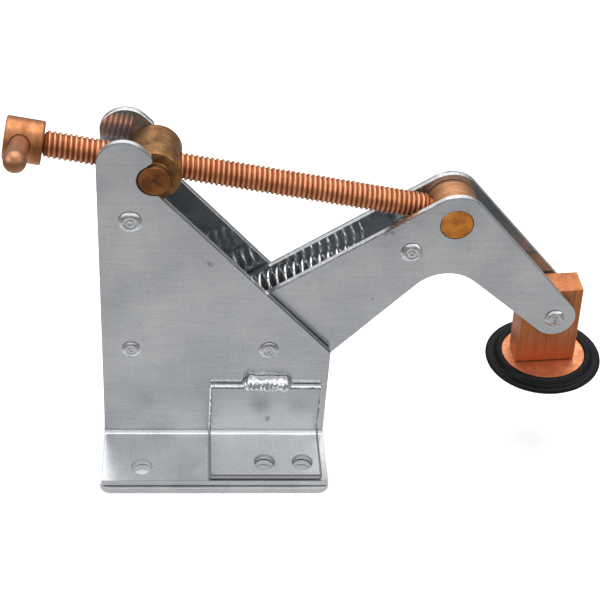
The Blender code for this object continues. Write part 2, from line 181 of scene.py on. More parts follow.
FULCRUM = joint_spot("arm_swing")
NUT = joint_spot("nut_swivel")
BLOCK = joint_spot("block_swivel")
FOOT = joint_spot("foot_swing")
LOWER_POST = node_spot("spacer_lower")
ARM_POST = node_spot("arm_spacer")


def at(spot):
    return Matrix.Translation(Vector(spot) * MM)


def screw_frame():
    """Origin on the swivel block's axis, local Z along the screw towards its handle, local X up."""
    along = (NUT - BLOCK).normalized()
    across = Vector((0.0, 1.0, 0.0))
    turn = Matrix((across.cross(along), across, along)).transposed().to_4x4()
    return at(BLOCK) @ turn


SCREW = screw_frame()
FOOT_FRAME = at(FOOT) @ Matrix.Rotation(math.radians(-FOOT_TILT), 4, "Y")


# Materials

def set_ramp(node, stops):
    """Gives a colour ramp its stops, as (place, colour) from low to high."""
    elements = node.color_ramp.elements
    elements.remove(elements[-1])
    elements[0].position = stops[0][0]
    elements[0].color = (*stops[0][1], 1.0)
    for place, colour in stops[1:]:
        elements.new(place).color = (*colour, 1.0)


class Surface:
    """A Principled material and the nodes that feed it. Textures read object space, in metres."""

    def __init__(self, name, metallic, roughness):
        self.mat = bpy.data.materials.new(name)
        self.mat.use_nodes = True
        self.tree = self.mat.node_tree
        self.shader = self.tree.nodes["Principled BSDF"]
        self.shader.inputs["Metallic"].default_value = metallic
        self.shader.inputs["Roughness"].default_value = roughness
        self.coords = self.tree.nodes.new("ShaderNodeTexCoord").outputs["Object"]

    def link(self, out, into):
        self.tree.links.new(out, into)

    def stretched(self, scale, matrix=None):
        """Object coordinates, turned into a piece's own frame and then scaled along each axis."""
        source = self.coords
        if matrix is not None:
            turn = self.tree.nodes.new("ShaderNodeMapping")
            turn.vector_type = "TEXTURE"
            turn.inputs["Location"].default_value = matrix.translation
            turn.inputs["Rotation"].default_value = matrix.to_euler()
            self.link(source, turn.inputs["Vector"])
            source = turn.outputs["Vector"]
        node = self.tree.nodes.new("ShaderNodeMapping")
        node.inputs["Scale"].default_value = scale
        self.link(source, node.inputs["Vector"])
        return node.outputs["Vector"]

    def noise(self, scale, detail=3.0, roughness=0.55, vector=None):
        node = self.tree.nodes.new("ShaderNodeTexNoise")
        node.inputs["Scale"].default_value = scale
        node.inputs["Detail"].default_value = detail
        node.inputs["Roughness"].default_value = roughness
        self.link(vector or self.coords, node.inputs["Vector"])
        return node.outputs["Fac"]

    def levels(self, value, low, high, to_low=0.0, to_high=1.0):
        node = self.tree.nodes.new("ShaderNodeMapRange")
        ends = {"From Min": low, "From Max": high, "To Min": to_low, "To Max": to_high}
        for socket, number in ends.items():
            node.inputs[socket].default_value = number
        self.link(value, node.inputs["Value"])
        return node.outputs["Result"]

    def maths(self, operation, a, b):
        node = self.tree.nodes.new("ShaderNodeMath")
        node.operation = operation
        for socket, value in zip(node.inputs, (a, b)):
            if isinstance(value, (int, float)):
                socket.default_value = value
            else:
                self.link(value, socket)
        return node.outputs["Value"]

    def ramp(self, value, stops):
        node = self.tree.nodes.new("ShaderNodeValToRGB")
        set_ramp(node, stops)
        self.link(value, node.inputs["Fac"])
        return node.outputs["Color"]

    def mix(self, factor, a, b, blend="MIX"):
        node = self.tree.nodes.new("ShaderNodeMix")
        node.data_type = "RGBA"
        node.blend_type = blend
        if isinstance(factor, (int, float)):
            node.inputs["Factor"].default_value = factor
        else:
            self.link(factor, node.inputs["Factor"])
        for socket, value in ((node.inputs[6], a), (node.inputs[7], b)):
            if isinstance(value, tuple):
                socket.default_value = (*value, 1.0)
            else:
                self.link(value, socket)
        return node.outputs[2]

    def attribute(self, name):
        node = self.tree.nodes.new("ShaderNodeAttribute")
        node.attribute_name = name
        return node.outputs["Fac"]

    def position(self, axis, vector=None):
        node = self.tree.nodes.new("ShaderNodeSeparateXYZ")
        self.link(vector or self.coords, node.inputs["Vector"])
        return node.outputs[axis]

    def colour(self, value):
        self.link(value, self.shader.inputs["Base Color"])

    def roughness(self, value):
        self.link(value, self.shader.inputs["Roughness"])

    def bump(self, height, strength, distance_mm):
        node = self.tree.nodes.new("ShaderNodeBump")
        node.inputs["Strength"].default_value = strength
        node.inputs["Distance"].default_value = distance_mm * MM
        self.link(height, node.inputs["Height"])
        self.link(node.outputs["Normal"], self.shader.inputs["Normal"])


def zinc(name, dark, light, rough=0.3, relief=0.35, metallic=1.0):
    """Bright zinc plate: cloudy patches, a fine grain, faint rolling marks and a few small dints."""
    s = Surface(name, metallic=metallic, roughness=rough)
    cloud = s.noise(26.0, 4.0, 0.6)
    grain = s.noise(1300.0, 2.0, 0.6)
    rolled = s.noise(1.0, 3.0, 0.6, s.stretched((55.0, 55.0, 900.0)))
    dint = s.levels(s.noise(150.0, 2.0, 0.5), 0.73, 0.78)
    colour = s.ramp(cloud, ((0.34, dark), (0.66, light)))
    streak = s.ramp(rolled, ((0.3, (0.86, 0.87, 0.88)), (0.7, (1.0, 1.0, 1.0))))
    colour = s.mix(0.8, colour, streak, "MULTIPLY")
    speck = s.ramp(grain, ((0.32, (0.8, 0.81, 0.82)), (0.62, (1.0, 1.0, 1.0))))
    colour = s.mix(0.75, colour, speck, "MULTIPLY")
    s.colour(s.mix(dint, colour, (0.4, 0.41, 0.42)))
    s.roughness(s.levels(cloud, 0.3, 0.7, rough * 0.8, rough * 1.2))
    height = s.maths("ADD", s.maths("MULTIPLY", grain, 0.35), s.maths("MULTIPLY", rolled, 0.3))
    s.bump(s.maths("SUBTRACT", height, dint), relief, 0.08)
    return s.mat


def sheared(name, outer, broken=0.17, depth_of_break=0.55):
    """The cut edge of a plate: a bright burnished band, then a dark ragged break next to the outer face."""
    s = Surface(name, metallic=1.0, roughness=0.3)
    depth = s.maths("SUBTRACT", outer * MM, s.maths("ABSOLUTE", s.position("Y"), 0.0))
    ragged = s.levels(s.noise(260.0, 3.0, 0.7), 0.3, 0.7, -0.45, 0.45)
    depth = s.maths("ADD", s.maths("DIVIDE", depth, MM), ragged)
    band = s.levels(depth, depth_of_break, depth_of_break + 0.5)
    grain = s.noise(1.0, 2.0, 0.6, s.stretched((900.0, 160.0, 900.0)))
    bright = s.ramp(grain, ((0.3, (0.62, 0.635, 0.65)), (0.7, (0.86, 0.87, 0.88))))
    s.colour(s.mix(band, (broken, broken, broken * 1.05), bright))
    s.roughness(s.levels(band, 0.0, 1.0, 0.55, 0.26))
    s.bump(grain, 0.3, 0.06)
    return s.mat


def bright_zinc(name, light, grain_scale, rough):
    """Clean zinc on a rivet's head, a rounded edge, the weld or the spring's wire."""
    s = Surface(name, metallic=1.0, roughness=rough)
    grain = s.noise(grain_scale, 3.0, 0.6)
    s.colour(s.ramp(grain, ((0.3, tuple(0.66 * c for c in light)), (0.6, light))))
    s.roughness(s.levels(grain, 0.3, 0.7, rough - 0.07, rough + 0.08))
    s.bump(grain, 0.35, 0.08)
    return s.mat


def copper(name, dark, light, rough=0.36, scale=(90.0, 90.0, 90.0), matrix=None):
    """Copper plate, stained in patches and finely grained, with marks along the piece's own axis."""
    s = Surface(name, metallic=0.85, roughness=rough)
    stain = s.noise(1.0, 4.0, 0.6, s.stretched(scale, matrix))
    grain = s.noise(900.0, 2.0, 0.6)
    colour = s.ramp(stain, ((0.3, dark), (0.62, light)))
    speck = s.ramp(grain, ((0.3, (0.7, 0.64, 0.6)), (0.6, (1.0, 1.0, 1.0))))
    s.colour(s.mix(0.6, colour, speck, "MULTIPLY"))
    s.roughness(s.levels(stain, 0.3, 0.7, rough + 0.1, rough - 0.06))
    s.bump(s.maths("ADD", s.maths("MULTIPLY", grain, 0.5), stain), 0.3, 0.06)
    return s.mat


def thread_copper_painted_light():
    """The screw: pink bright crests over darker, browner flanks and roots, painted by the thread's height as
    a highlight on the crests and shade in the roots.
    """
    s = Surface("thread_copper_painted_light", metallic=0.75, roughness=0.34)
    crest = s.attribute("crest")
    wander = s.levels(s.noise(240.0, 3.0, 0.6), 0.3, 0.7, -0.22, 0.22)
    # Painted shade in the roots and painted highlight on the crests, read from the crest attribute.
    colour = s.ramp(s.maths("ADD", crest, wander),
                    ((0.0, (0.24, 0.075, 0.03)), (0.42, (0.5, 0.17, 0.068)), (0.95, (0.74, 0.34, 0.18))))
    patch = s.ramp(s.noise(45.0, 3.0, 0.6), ((0.3, (0.72, 0.66, 0.6)), (0.65, (1.0, 1.0, 1.0))))
    s.colour(s.mix(0.85, colour, patch, "MULTIPLY"))
    s.roughness(s.levels(crest, 0.0, 1.0, 0.5, 0.3))
    s.bump(s.noise(700.0, 2.0, 0.6), 0.25, 0.08)
    return s.mat


def bronze(name, dark, light, matrix=None):
    """Oiled bronze, mottled brown and gold."""
    s = Surface(name, metallic=0.8, roughness=0.36)
    blotch = s.noise(170.0, 5.0, 0.68)
    turned_marks = s.noise(1.0, 2.0, 0.6, s.stretched((60.0, 1500.0, 60.0), matrix))
    colour = s.ramp(blotch, ((0.34, dark), (0.62, light)))
    lines = s.ramp(turned_marks, ((0.3, (0.62, 0.58, 0.5)), (0.6, (1.0, 1.0, 1.0))))
    s.colour(s.mix(0.7, colour, lines, "MULTIPLY"))
    s.roughness(s.levels(blotch, 0.3, 0.7, 0.48, 0.28))
    s.bump(s.maths("ADD", blotch, turned_marks), 0.3, 0.06)
    return s.mat


def faced(name, centre, dark, light):
    """The turned end of a journal: fine rings round its centre."""
    s = Surface(name, metallic=0.55, roughness=0.3)
    local = s.tree.nodes.new("ShaderNodeVectorMath")
    local.operation = "SUBTRACT"
    local.inputs[1].default_value = Vector(centre) * MM
    s.link(s.coords, local.inputs[0])
    flat = s.tree.nodes.new("ShaderNodeVectorMath")
    flat.operation = "MULTIPLY"
    flat.inputs[1].default_value = (1.0, 0.0, 1.0)
    s.link(local.outputs["Vector"], flat.inputs[0])
    length = s.tree.nodes.new("ShaderNodeVectorMath")
    length.operation = "LENGTH"
    s.link(flat.outputs["Vector"], length.inputs[0])
    rings = s.maths("SINE", s.maths("MULTIPLY", length.outputs["Value"], 7500.0), 0.0)
    stain = s.noise(160.0, 3.0, 0.6)
    tone = s.maths("ADD", stain, s.maths("MULTIPLY", rings, 0.025))
    s.colour(s.ramp(tone, ((0.32, dark), (0.62, light))))
    s.roughness(s.levels(stain, 0.3, 0.7, 0.42, 0.28))
    s.bump(s.maths("ADD", s.maths("MULTIPLY", rings, 0.3), stain), 0.25, 0.04)
    return s.mat


def milled_copper():
    """The foot's post: mill marks along its height, and redder towards its foot."""
    s = Surface("milled_copper", metallic=0.6, roughness=0.4)
    local = s.stretched((1.0, 1.0, 1.0), FOOT_FRAME)
    mill = s.noise(1.0, 3.0, 0.65, s.stretched((750.0, 750.0, 22.0), FOOT_FRAME))
    stain = s.noise(120.0, 4.0, 0.62)
    tone = s.maths("ADD", s.maths("MULTIPLY", mill, 0.6), s.maths("MULTIPLY", stain, 0.4))
    colour = s.ramp(tone, ((0.3, (0.22, 0.07, 0.022)), (0.5, (0.42, 0.14, 0.045)),
                           (0.7, (0.56, 0.21, 0.075))))
    low = s.levels(s.position("Z", local), -26.0 * MM, -12.0 * MM, 0.75, 0.0)
    s.colour(s.mix(low, colour, (0.56, 0.13, 0.045)))
    s.roughness(s.levels(tone, 0.3, 0.7, 0.5, 0.34))
    s.bump(tone, 0.4, 0.08)
    return s.mat


def rubber():
    """Moulded black rubber with a dusty bloom."""
    s = Surface("moulded_rubber", metallic=0.0, roughness=0.4)
    bloom = s.noise(90.0, 4.0, 0.62)
    s.shader.inputs["Specular IOR Level"].default_value = 0.1
    s.colour(s.ramp(bloom, ((0.35, (0.003, 0.003, 0.0034)), (0.75, (0.009, 0.009, 0.01)))))
    s.roughness(s.levels(bloom, 0.3, 0.7, 0.3, 0.46))
    s.bump(s.noise(1500.0, 2.0, 0.6), 0.15, 0.05)
    return s.mat


ZINC = zinc("zinc_plate", (0.64, 0.655, 0.67), (0.82, 0.83, 0.835))
# Darker, less metallic zinc for the faces towards the middle: painted shade between the plates.
ZINC_INNER_SHADED = zinc("zinc_inner_face_shaded", (0.4, 0.44, 0.46), (0.58, 0.61, 0.63), 0.09, 0.04, 0.84)
ROLLED = bright_zinc("zinc_rolled_edge", (0.82, 0.83, 0.84), 500.0, 0.26)
SHEARED_FRAME = sheared("sheared_frame_edge", FRAME_OUTER)
SHEARED_ARM = sheared("sheared_arm_edge", ARM_OUTER)
SHEARED_GUSSET = sheared("sheared_gusset_edge", GUSSET_OUTER, 0.3, 0.0)
RIVET = bright_zinc("rivet_zinc", (0.78, 0.79, 0.8), 420.0, 0.26)
WELD = bright_zinc("weld_zinc", (0.78, 0.79, 0.8), 650.0, 0.24)
STEEL = bright_zinc("spring_wire", (0.88, 0.89, 0.9), 900.0, 0.16)
THREAD = thread_copper_painted_light()
HEAD_COPPER = copper("head_copper", (0.28, 0.105, 0.04), (0.5, 0.21, 0.09), matrix=SCREW, scale=(60, 60, 240))
TEE_COPPER = copper("tee_copper", (0.28, 0.12, 0.055), (0.5, 0.245, 0.125))
BLOCK_COPPER = copper("block_copper", (0.3, 0.13, 0.055), (0.54, 0.27, 0.13), scale=(60, 500, 60))
DISC_COPPER = copper("disc_copper", (0.5, 0.17, 0.07), (0.74, 0.33, 0.165), 0.4, (220, 220, 220))
POST_COPPER = milled_copper()
BRONZE = bronze("nut_bronze", (0.1, 0.042, 0.012), (0.34, 0.165, 0.055))
NUT_FACE = faced("nut_face", NUT, (0.048, 0.012, 0.0015), (0.25, 0.078, 0.01))
BLOCK_FACE = faced("block_face", BLOCK, (0.3, 0.09, 0.008), (0.6, 0.21, 0.028))
RUBBER = rubber()


# Mesh helpers

def add(name, mesh, materials, body, *nodes):
    """Links a finished mesh as a piece that rides on a body and stands for CAD nodes.

    Slots are filled one by one, because clearing them would put every face back on the first.
    """
    obj = bpy.data.objects.new(name, mesh)
    bpy.context.scene.collection.objects.link(obj)
    for index, mat in enumerate(materials):
        if index < len(mesh.materials):
            mesh.materials[index] = mat
        else:
            mesh.materials.append(mat)
    if body:
        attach(obj, body)
    if nodes:
        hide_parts(*nodes)
    return obj


def soften(obj, angle=32.0):
    """Smooth shading with sharp corners kept, and flat areas kept flat by weighted normals."""
    obj.data.shade_smooth()
    obj.data.set_sharp_from_angle(angle=math.radians(angle))
    weighted = obj.modifiers.new("flat_areas", "WEIGHTED_NORMAL")
    weighted.keep_sharp = True


def finished_mesh(obj):
    """The mesh of an object with its modifiers applied."""
    bpy.context.view_layer.update()
    evaluated = obj.evaluated_get(bpy.context.evaluated_depsgraph_get())
    return bpy.data.meshes.new_from_object(evaluated)


def body_of(node):
    return NODES[node]["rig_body"]


def welded(node):
    """A copy of a CAD node's mesh, with its triangles joined into flat faces."""
    shape = bmesh.new()
    shape.from_mesh(NODES[node].data)
    bmesh.ops.remove_doubles(shape, verts=shape.verts, dist=WELD_DIST)
    bmesh.ops.dissolve_limit(shape, angle_limit=math.radians(0.6), verts=shape.verts, edges=shape.edges)
    mesh = bpy.data.meshes.new(node)
    shape.to_mesh(mesh)
    shape.free()
    return mesh


def weigh_edges(mesh, width):
    """Bevel weights: full on sharp edges, and less round the bolt holes."""
    shape = bmesh.new()
    shape.from_mesh(mesh)
    layer = shape.edges.layers.float.new("bevel_weight_edge")
    for edge in shape.edges:
        if edge.calc_face_angle(0.0) > math.radians(SHARP):
            middle = (edge.verts[0].co + edge.verts[1].co) / 2 / MM
            near = min(math.hypot(middle.x - x, abs(middle.y) - y) for x, y in BOLT_SPOTS)
            edge[layer] = EDGE_ROUND / width if near < BOLT_NEAR else 1.0
    shape.to_mesh(mesh)
    shape.free()


def rounded(node, materials, pick=None, width=EDGE_ROUND, segments=3, weighted=False):
    """A CAD node with rounded edges.

    Its materials are those of its faces, its edges and its inner side, and pick says which face
    takes which. With weighted, the edges of the bolt holes are rounded less than the others.
    """
    obj = add(f"{node}_finished", welded(node), materials, None)
    if pick:
        for face in obj.data.polygons:
            face.material_index = pick(face.center / MM, face.normal)
    if weighted:
        weigh_edges(obj.data, width)
    bevel = obj.modifiers.new("rounded", "BEVEL")
    bevel.width = width * MM
    bevel.segments = segments
    bevel.limit_method = "WEIGHT" if weighted else "ANGLE"
    bevel.angle_limit = math.radians(SHARP)
    bevel.use_clamp_overlap = not weighted
    bevel.material = 1
    mesh = finished_mesh(obj)
    bpy.data.objects.remove(obj, do_unlink=True)
    piece = add(f"{node}_finished", mesh, materials, body_of(node), node)
    soften(piece, 40.0)
    return piece


def turn_profile(shape, profile, sides, closed=False):
    """Turns a profile of (radius, height) points about local Z."""
    verts = [shape.verts.new((r * MM, 0.0, h * MM)) for r, h in profile]
    edges = [shape.edges.new(pair) for pair in zip(verts, verts[1:])]
    if closed:
        edges.append(shape.edges.new((verts[-1], verts[0])))
    bmesh.ops.spin(shape, geom=verts + edges, axis=(0, 0, 1), cent=(0, 0, 0),
                   angle=2 * math.pi, steps=sides, use_merge=True)


def lathe_mesh(name, profile, matrix, sides=SIDES, closed=False):
    """A turned mesh, put in the row frame."""
    shape = bmesh.new()
    turn_profile(shape, profile, sides, closed)
    return place_mesh(name, shape, matrix)


def place_mesh(name, shape, matrix):
    bmesh.ops.remove_doubles(shape, verts=shape.verts, dist=WELD_DIST)
    bmesh.ops.recalc_face_normals(shape, faces=shape.faces)
    shape.transform(matrix)
    mesh = bpy.data.meshes.new(name)
    shape.to_mesh(mesh)
    shape.free()
    return mesh


def mirrored(down):
    """A profile down to the middle, and its mirror image below."""
    return down + [(r, -h) for r, h in reversed(down)]


def arc(centre, radius, start, end, steps):
    """(x, z) points on an arc in the upright plane, between angles in degrees."""
    points = []
    for i in range(steps + 1):
        angle = math.radians(start + (end - start) * i / steps)
        points.append((centre.x + radius * math.cos(angle), centre.z + radius * math.sin(angle)))
    return points


def corner(r, h, radius, start, steps=4):
    """A quarter round in a profile: its centre is (r, h), from the start angle, turning clockwise."""
    points = []
    for i in range(steps + 1):
        angle = math.radians(start - 90.0 * i / steps)
        points.append((r + radius * math.cos(angle), h + radius * math.sin(angle)))
    return points


def carve(mesh, cutter_mesh):
    """Cuts one mesh out of another."""
    obj = bpy.data.objects.new("carved", mesh)
    cutter = bpy.data.objects.new("cutter", cutter_mesh)
    for used in (obj, cutter):
        bpy.context.scene.collection.objects.link(used)
    obj.modifiers.new("cut", "BOOLEAN").object = cutter
    result = finished_mesh(obj)
    for used in (obj, cutter):
        bpy.data.objects.remove(used, do_unlink=True)
    return result


def rod(radius, low, high, matrix, sides=32):
    return lathe_mesh("rod", [(0, high), (radius, high), (radius, low), (0, low)], matrix, sides)


# Frame and arm

def leg_finish(outer, low):
    """Picks a plate's finish: 1 on its cut edges above a height, and 2 on the face towards the middle, which
    takes darker zinc as painted shade between the plates.
    """
    def pick(centre, normal):
        depth = outer - abs(centre.y)
        if centre.z > low and abs(normal.y) < 0.3 and 0.1 < depth < PLATE_T - 0.1:
            return 1
        if abs(normal.y) > 0.9 and abs(depth - PLATE_T) < 0.1:
            return 2
        return 0
    return pick


def make_plates():
    for word in ("front", "rear"):
        rounded(f"side_plate_{word}", (ZINC, SHEARED_FRAME, ZINC_INNER_SHADED), leg_finish(FRAME_OUTER, BEND_TOP))
        rounded(f"gusset_{word}", (ZINC, SHEARED_GUSSET, ZINC_INNER_SHADED), leg_finish(GUSSET_OUTER, BEND_TOP),
                GUSSET_ROUND, 5, weighted=True)
        rounded(f"arm_plate_{word}", (ZINC, SHEARED_ARM, ZINC_INNER_SHADED), leg_finish(ARM_OUTER, 0.0))
    rounded("base_plate", (ZINC, ROLLED))


def weld_mesh(node, side):
    """A fillet bead in overlapping crescents, lumpy, with its toe ragged."""
    low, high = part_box(node)
    low, high = low / MM, high / MM
    middle_z = (low.z + high.z) / 2
    inner_y = min(abs(low.y), abs(high.y))
    reach = abs(high.y - low.y)
    rows, across = 72, 20
    ripple = 1.9
    shape = bmesh.new()
    grid = []
    for i in range(rows + 1):
        t = i / rows
        end_fade = min(1.0, (0.5 - abs(t - 0.5)) * 9.0) ** 0.5
        line = []
        for j in range(across + 1):
            u = j / across
            angle = math.pi * u
            x = low.x + (high.x - low.x) * t + 1.5 * math.sin(angle) * (t - 0.5)
            phase = (x / ripple - 1.1 * math.sin(angle)) % 1.0
            lump = noise.noise(Vector((x * 0.42, u * 3.0, side * 4.0)))
            fine = noise.noise(Vector((x * 1.9, u * 9.0, side * 9.0)))
            swell = 0.86 + 0.13 * math.sin(math.pi * phase) + 0.2 * lump + 0.07 * fine
            tall = (high.z - low.z) / 2 * end_fade * (1.0 + 0.2 * lump)
            deep = reach * end_fade * swell
            z = middle_z + tall * math.cos(angle)
            y = inner_y + max(0.0, deep * math.sin(angle) ** 0.7)
            line.append(shape.verts.new((x * MM, side * y * MM, z * MM)))
        grid.append(line)
    for upper, lower in zip(grid, grid[1:]):
        for j in range(across):
            shape.faces.new((upper[j], upper[j + 1], lower[j + 1], lower[j]))
        shape.faces.new((upper[across], upper[0], lower[0], lower[across]))
    shape.faces.new(grid[0])
    shape.faces.new(list(reversed(grid[-1])))
    return place_mesh(f"{node}_bead", shape, Matrix.Identity(4))


def make_welds():
    for word, side in (("front", -1), ("rear", 1)):
        node = f"weld_{word}"
        piece = add(f"{node}_bead", weld_mesh(node, side), (WELD,), "frame", node)
        soften(piece, 60.0)


def upset(mesh, centre, amount, seed):
    """Presses a turned head out of true, as a hammered or spun rivet is."""
    for vertex in mesh.vertices:
        local = vertex.co / MM - centre
        wobble = noise.noise(Vector((local.x * 0.5, local.y * 0.4 + seed, local.z * 0.5)))
        away = Vector((local.x, 0.0, local.z))
        if away.length > 0.1:
            vertex.co += away.normalized() * (wobble * amount * MM)


def make_rivets():
    """Heads: a low dome with a rim, a ring pressed into it and a dimple in the middle."""
    styles = {                # head's radius, its rise, and how far it is out of true
        "rivet_upper": (4.75, 1.2, 0.15),
        "rivet_lower": (3.95, 0.75, 0.05),
        "fulcrum_pin": (4.15, 0.75, 0.05),
        "arm_rivet": (4.5, 1.1, 0.4),
        "foot_pin": (4.2, 1.1, 0.4),
    }
    for seed, (node, (head_r, rise, rough)) in enumerate(styles.items()):
        spot = node_spot(node)
        top = half_width(node)
        seat = top - RIVET_SEAT
        dome = [(0, seat + rise * 0.62), (0.35, seat + rise * 0.66), (0.75, seat + rise * 0.95),
                (head_r * 0.32, seat + rise * 0.98), (head_r * 0.4, seat + rise * 0.8),
                (head_r * 0.46, seat + rise * 0.8), (head_r * 0.52, seat + rise * 0.98),
                (head_r * 0.68, seat + rise * 0.9), (head_r * 0.83, seat + rise * 0.66),
                (head_r * 0.93, seat + rise * 0.4), (head_r, seat + 0.12),
                (head_r + 0.12, seat + 0.04), (head_r, seat - 0.02), (RIVET_R, seat - 0.02)]
        mesh = lathe_mesh(f"{node}_head", mirrored(dome), at(spot) @ ACROSS, 56)
        upset(mesh, spot, rough, seed * 3.7)
        piece = add(f"{node}_finished", mesh, (RIVET,), body_of(node), node)
        soften(piece, 50.0)


def make_tubes():
    """The spacers and the bush on the rivets."""
    for node, mat in (("spacer_upper", ZINC), ("spacer_lower", ZINC), ("arm_spacer", ZINC),
                      ("fulcrum_bush", BRONZE)):
        low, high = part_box(node)
        outer = (high.x - low.x) / 2 / MM
        half = half_width(node)
        down = [(PIN_BORE_R, half - 0.4), (PIN_BORE_R + 0.4, half), (outer - 0.6, half)]
        down += corner(outer - 0.6, half - 0.6, 0.6, 90.0)
        mesh = lathe_mesh(f"{node}_finished", mirrored(down), at(node_spot(node)) @ ACROSS, closed=True)
        piece = add(f"{node}_finished", mesh, (mat,), body_of(node), node)
        soften(piece)


# Screw, nut and block

def thread_row(turns):
    """(height, radius) round one pitch of a rolled thread, from root to root."""
    depth = THREAD_R - ROOT_R
    shape = ((0.0, 0.0), (0.12, 0.04), (0.34, 0.86), (0.43, 1.0), (0.57, 1.0), (0.66, 0.86), (0.88, 0.04))
    return [((turns + place) * PITCH, ROOT_R + depth * rise) for place, rise in shape]


def end_limit(height):
    """The chamfers at the thread's two ends, down to the neck's radius."""
    return NECK_R + min(height - THREAD_START, (THREAD_END - height) * 1.3)


def make_screw():
    sides = 36
    turns = int((THREAD_END - THREAD_START) / PITCH) + 3
    shape = bmesh.new()
    rows = []
    for step in range(turns * sides + 1):
        angle = 2 * math.pi * step / sides
        row = []
        for height, radius in thread_row(step / sides - 1.0):
            along = min(max(THREAD_START + height, THREAD_START), THREAD_END)
            r = min(radius, end_limit(along))
            row.append(shape.verts.new((r * math.cos(angle) * MM, r * math.sin(angle) * MM, along * MM)))
        rows.append(row)
    for step in range(len(rows) - 1):
        line, after = rows[step], rows[step + 1]
        if step + sides + 1 < len(rows):
            line = line + [rows[step + sides][0]]
            after = after + [rows[step + sides + 1][0]]
        for j in range(len(line) - 1):
            shape.faces.new((line[j], line[j + 1], after[j + 1], after[j]))
    bmesh.ops.remove_doubles(shape, verts=shape.verts, dist=WELD_DIST)
    bmesh.ops.dissolve_degenerate(shape, edges=shape.edges, dist=WELD_DIST)
    for profile in (
        [(0, SCREW_TIP), (NECK_R - 0.8, SCREW_TIP), (NECK_R, SCREW_TIP + 0.8),
         (NECK_R, GROOVE_START - 0.1), (GROOVE_R, GROOVE_START), (GROOVE_R, GROOVE_END),
         (NECK_R, GROOVE_END + 0.1), (NECK_R, THREAD_START)],
        [(NECK_R, THREAD_END), (STUB_R, THREAD_END), (STUB_R, HEAD_START + STUB_DEEP),
         (0, HEAD_START + STUB_DEEP)],
    ):
        turn_profile(shape, profile, sides)
    mesh = place_mesh("clamp_screw_threaded", shape, Matrix.Identity(4))
    # From root to crest for each point; the screw's material turns this into painted shade and painted
    # highlight.
    crest = mesh.attributes.new("crest", "FLOAT", "POINT")
    values = [
        min(1.0, max(0.0, (math.hypot(v.co.x, v.co.y) / MM - ROOT_R) / (THREAD_R - ROOT_R)))
        for v in mesh.vertices
    ]
    crest.data.foreach_set("value", values)
    mesh.transform(SCREW)
    piece = add("clamp_screw_threaded", mesh, (THREAD,), "screw", "clamp_screw")
    soften(piece, 55.0)


def bar_frame():
    axis = Vector(JOINTS["tee_slide"]["axis"])
    middle = SCREW @ Vector((0.0, 0.0, (HEAD_START + HEAD_LENGTH / 2 + TEE_SHIFT) * MM))
    return Matrix.Translation(middle) @ axis.to_track_quat("Z", "X").to_matrix().to_4x4()


def make_head():
    top = HEAD_START + HEAD_LENGTH
    chamfer = 0.5
    profile = [(0, top), (HEAD_R - chamfer - 0.1, top), (HEAD_R, top - chamfer),
               (HEAD_R, HEAD_START + chamfer), (HEAD_R - chamfer, HEAD_START),
               (NECK_R, HEAD_START), (NECK_R, HEAD_START + HEAD_DEEP), (0, HEAD_START + HEAD_DEEP)]
    hole = rod(TEE_R + GAP, -30, 30, bar_frame(), 40)
    mesh = carve(lathe_mesh("screw_head_finished", profile, SCREW, 64), hole)
    piece = add("screw_head_finished", mesh, (HEAD_COPPER,), "screw", "screw_head")
    soften(piece)


def make_tee():
    """The sliding bar, with both ends swaged round."""
    front = [(0.0, TEE_FRONT)] + corner(0.0, TEE_FRONT - TEE_END_R, TEE_END_R, 90.0, 8)[1:]
    front += [(TEE_END_R, TEE_FRONT - 5.6), (TEE_R + 0.1, TEE_FRONT - 6.4), (TEE_R, TEE_FRONT - 7.2)]
    back = [(r, TEE_FRONT - TEE_BACK - h) for r, h in front]
    mesh = lathe_mesh("tee_bar_finished", front + list(reversed(back)), bar_frame(), 40)
    piece = add("tee_bar_finished", mesh, (TEE_COPPER,), "tee_bar", "tee_bar")
    soften(piece, 50.0)


def barrel(node, spot, half, bore, journal_r, materials):
    """A cross-drilled barrel with turned journals, their ends chamfered, ringed and centre-marked."""
    face = half_width(node)
    down = [(0, face - 0.7), (0.5, face - 0.45), (1.1, face - 0.06), (1.5, face - 0.12),
            (journal_r - 1.5, face - 0.12), (journal_r - 1.2, face), (journal_r - 0.5, face)]
    down += corner(journal_r - 0.5, face - 0.5, 0.5, 90.0, 3)[1:]
    down += [(journal_r, half + 0.3), (journal_r + 0.3, half), (BARREL_R - BARREL_BEVEL, half)]
    down += corner(BARREL_R - BARREL_BEVEL, half - BARREL_BEVEL, BARREL_BEVEL, 90.0, 3)[1:]
    mesh = lathe_mesh(f"{node}_finished", mirrored(down), at(spot) @ ACROSS, 64)
    mesh = carve(mesh, bore)
    for polygon in mesh.polygons:
        away = polygon.center / MM - spot
        if abs(away.y) > face - 0.9 and math.hypot(away.x, away.z) < journal_r:
            polygon.material_index = 1
    piece = add(f"{node}_finished", mesh, materials, body_of(node), node)
    soften(piece, 30.0)


def make_barrels():
    nut_bore = rod(THREAD_R + BORE_PLAY, -40.0, 40.0, SCREW @ at((0, 0, (NUT - BLOCK).length)))
    block_bore = rod(NECK_R + GAP, SCREW_TIP - 0.6, 30.0, SCREW)
    barrel("trunnion_nut", NUT, FRAME_INNER - GAP, nut_bore, NUT_JOURNAL_R, (BRONZE, NUT_FACE))
    barrel("screw_block", BLOCK, ARM_INNER - GAP, block_bore, BLOCK_JOURNAL_R, (BLOCK_COPPER, BLOCK_FACE))


def paint_cad_nodes():
    """The hidden pieces that keep their CAD shape."""
    for node in ("screw_retainer", "foot_bolt"):
        NODES[node].data.materials.clear()
        NODES[node].data.materials.append(STEEL)


# Foot

